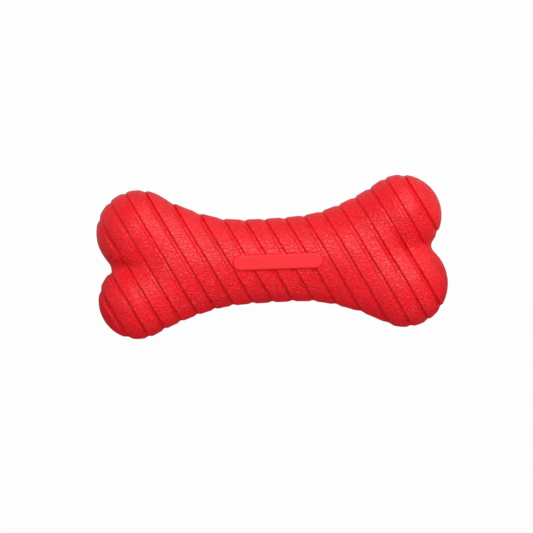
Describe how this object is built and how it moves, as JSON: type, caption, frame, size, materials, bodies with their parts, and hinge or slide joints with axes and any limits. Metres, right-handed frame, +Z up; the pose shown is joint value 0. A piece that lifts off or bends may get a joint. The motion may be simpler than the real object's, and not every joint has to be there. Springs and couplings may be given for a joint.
{
  "type": "dog chew bone",
  "caption": "Bone-shaped dog chew toy that lies flat: a soft outer layer with slanted bands and channels, moulded in halves round a tough rubber core, with a bare raised plate on top.",
  "frame": {"origin": "on the ground, under the middle of the bone's length and width", "axes": "+X along the bone, +Y across it, +Z up through the side that carries the plate"},
  "size_m": [0.1648, 0.0718, 0.0399],
  "materials": {
    "soft_layer": "red closed-cell foam rubber, satin, with a fine wrinkled grain",
    "core_rubber": "dark red solid rubber, matt"
  },
  "bodies": {
    "root": {"outer_layer_top": "soft_layer", "outer_layer_bottom": "soft_layer", "inner_core": "core_rubber"}
  },
  "joints": []
}
